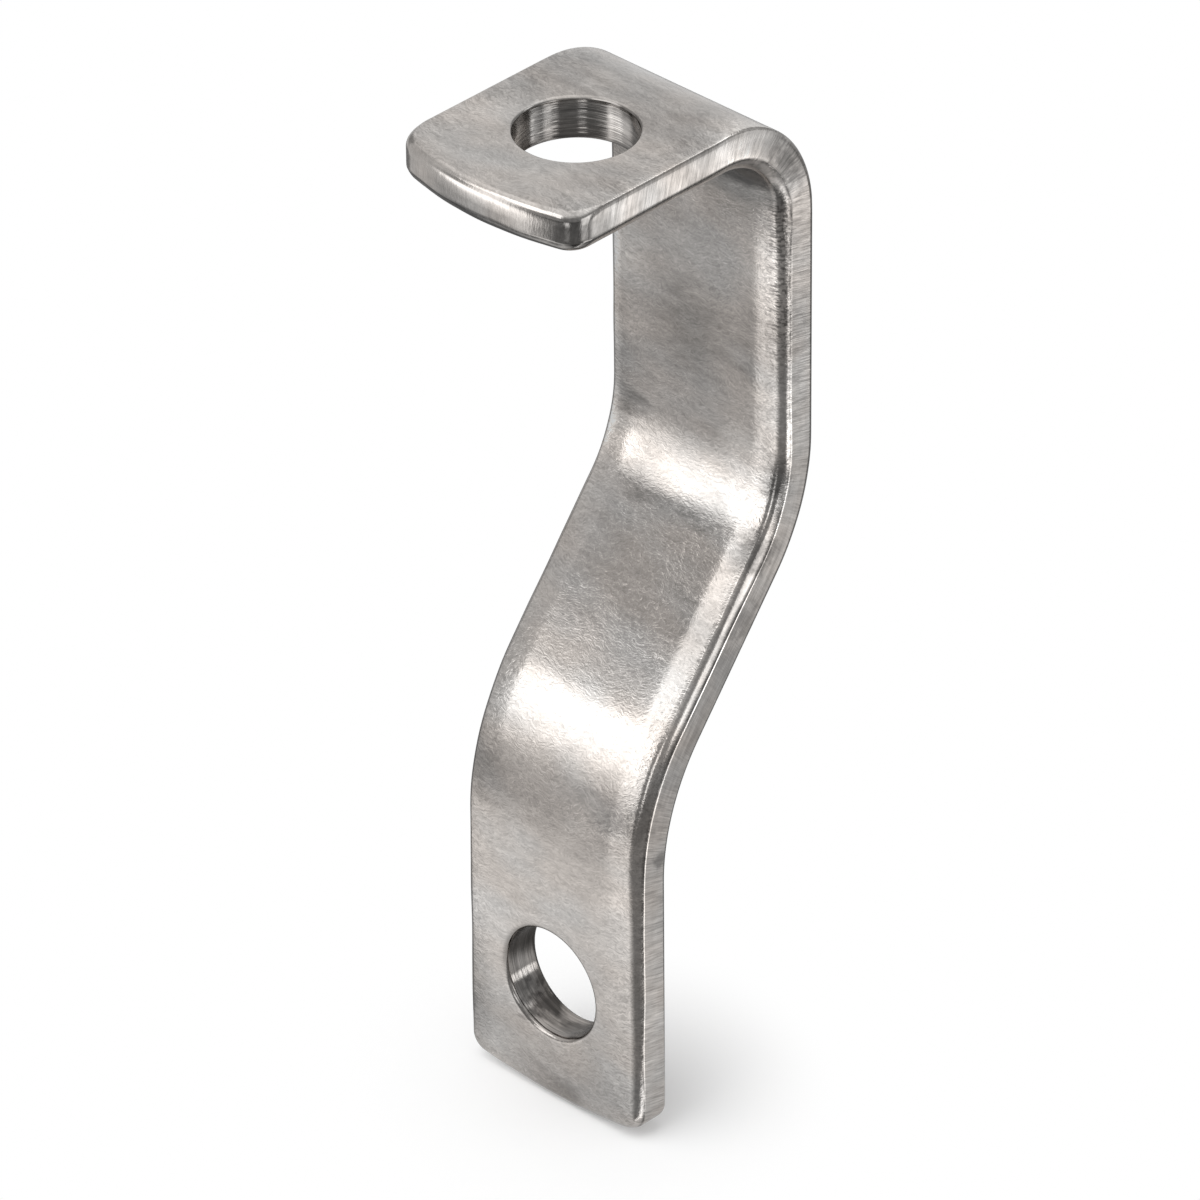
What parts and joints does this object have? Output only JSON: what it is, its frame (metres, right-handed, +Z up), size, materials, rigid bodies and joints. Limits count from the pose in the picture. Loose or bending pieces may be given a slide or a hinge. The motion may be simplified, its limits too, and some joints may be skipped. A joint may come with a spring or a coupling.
{
  "type": "pipe support bracket",
  "caption": "Bent flat-bar pipe support bracket with a drilled horizontal tab, an upright leg, a forward joggle and a drilled flat foot.",
  "frame": {"origin": "middle of the foot's hole, halfway through the bar", "axes": "+X across the bar, +Z up the leg, and the tab points towards -Y"},
  "size_m": [0.025, 0.037, 0.1175],
  "materials": {
    "stainless": "satin, lightly tumbled, with fine scratches"
  },
  "bodies": {
    "root": {"bracket": "stainless"}
  },
  "joints": []
}
